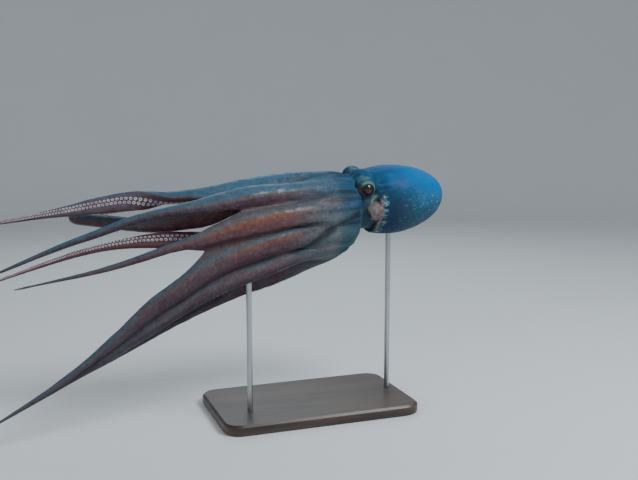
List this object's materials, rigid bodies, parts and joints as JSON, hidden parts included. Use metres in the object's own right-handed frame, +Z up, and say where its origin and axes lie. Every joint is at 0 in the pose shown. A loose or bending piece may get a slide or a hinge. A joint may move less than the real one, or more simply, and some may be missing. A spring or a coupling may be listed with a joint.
{
  "type": "octopus",
  "caption": "Octopus swimming mantle first with its arms trailing and webbed at the roots, held over a flat base by upright rods: a still life-size display model.",
  "frame": {"origin": "middle of the underside of the stand's base, on the surface that the model stands on", "axes": "+X the way the mantle points, which is the way the animal swims, with the arms trailing towards -X; -Y the animal's left side; +Z up"},
  "size_m": [0.6984, 0.1864, 0.3696],
  "materials": {
    "skin_mantle": "moist satin: smooth slate-blue skin with fine darker reticulation and pale flecks",
    "skin_funnel": "moist satin: paler, thinner skin at the funnel and the mantle's rim",
    "skin_arms": "moist satin: mauve-brown to rust-red skin with grey-blue ridges, cream-pink on the side with the suckers",
    "eye": "glossy: pale yellow-green iris with a dark slit pupil",
    "stand_wood": "dark stained hardwood, satin varnish",
    "stand_rod": "brushed steel rod"
  },
  "bodies": {
    "root": {"mantle": "skin_mantle", "head": "skin_mantle", "funnel": "skin_funnel", "eye_left": "eye", "eye_right": "eye", "arm_crown": "skin_arms", "arm_R1_base": "skin_arms", "arm_R1_middle": "skin_arms", "arm_R1_tip": "skin_arms", "arm_L1_base": "skin_arms", "arm_L1_middle": "skin_arms", "arm_L1_tip": "skin_arms", "arm_L2_base": "skin_arms", "arm_L2_middle": "skin_arms", "arm_L2_tip": "skin_arms", "arm_L3_base": "skin_arms", "arm_L3_middle": "skin_arms", "arm_L3_tip": "skin_arms", "arm_L4_base": "skin_arms", "arm_L4_middle": "skin_arms", "arm_L4_tip": "skin_arms", "arm_R4_base": "skin_arms", "arm_R4_middle": "skin_arms", "arm_R4_tip": "skin_arms", "arm_R3_base": "skin_arms", "arm_R3_middle": "skin_arms", "arm_R3_tip": "skin_arms", "arm_R2_base": "skin_arms", "arm_R2_middle": "skin_arms", "arm_R2_tip": "skin_arms", "web_R1_L1": "skin_arms", "web_L1_L2": "skin_arms", "web_L2_L3": "skin_arms", "web_L3_L4": "skin_arms", "web_L4_R4": "skin_arms", "web_R4_R3": "skin_arms", "web_R3_R2": "skin_arms", "web_R2_R1": "skin_arms", "stand_base": "stand_wood", "stand_rod_mantle": "stand_rod", "stand_rod_arms": "stand_rod"}
  },
  "joints": []
}
